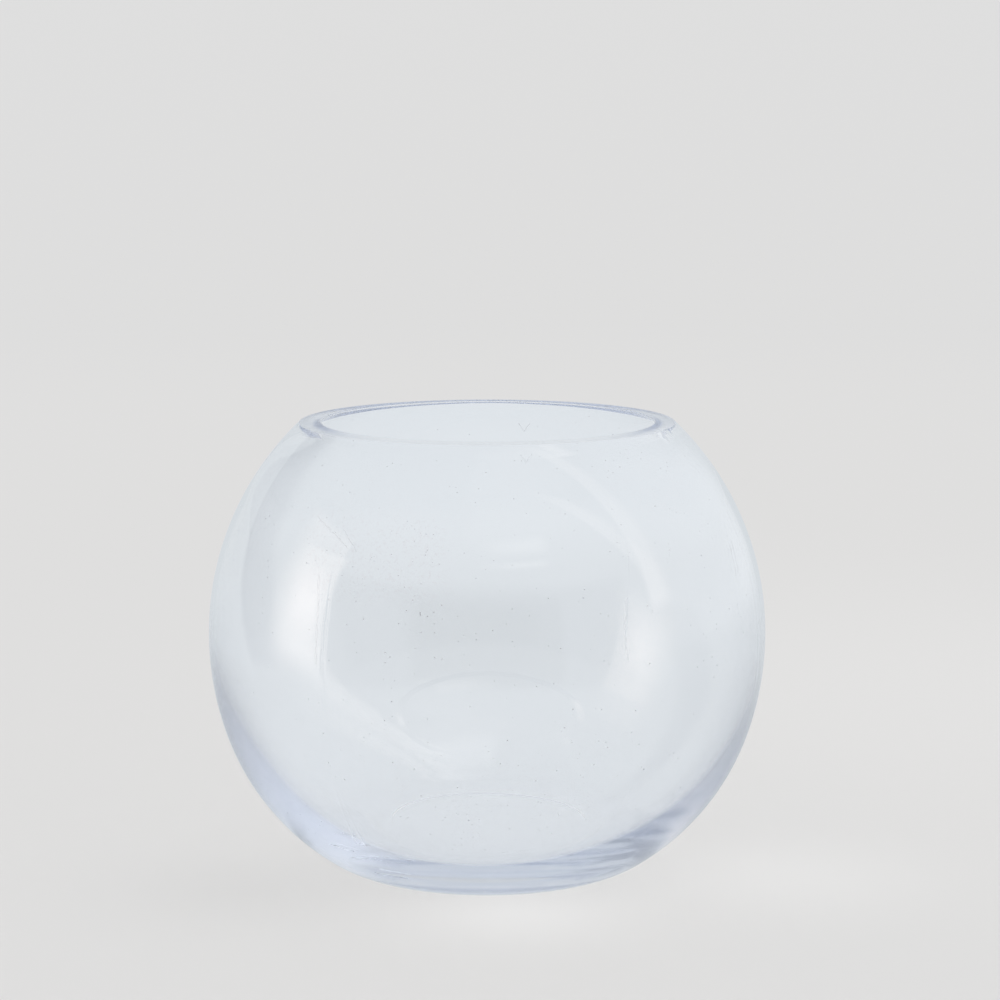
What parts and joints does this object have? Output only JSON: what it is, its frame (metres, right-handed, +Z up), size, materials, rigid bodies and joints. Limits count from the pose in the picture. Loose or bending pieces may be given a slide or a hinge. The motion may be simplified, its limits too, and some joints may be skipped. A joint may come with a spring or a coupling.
{
  "type": "rose bowl vase",
  "caption": "Round clear glass bowl vase with a wide mouth, a ground flat rim and a flat foot, for cut flowers, floating blooms or candles.",
  "frame": {"origin": "centre of the flat foot, on the surface that the vase stands on", "axes": "+Z up, along the vase's axis of symmetry, out of its mouth; the vase is round, so +X and +Y are any two level directions"},
  "size_m": [0.2, 0.2, 0.162],
  "materials": {
    "clear_glass": "clear, polished, with a faint blue tint that deepens in the thick parts"
  },
  "bodies": {
    "root": {"glass_bowl": "clear_glass"}
  },
  "joints": []
}
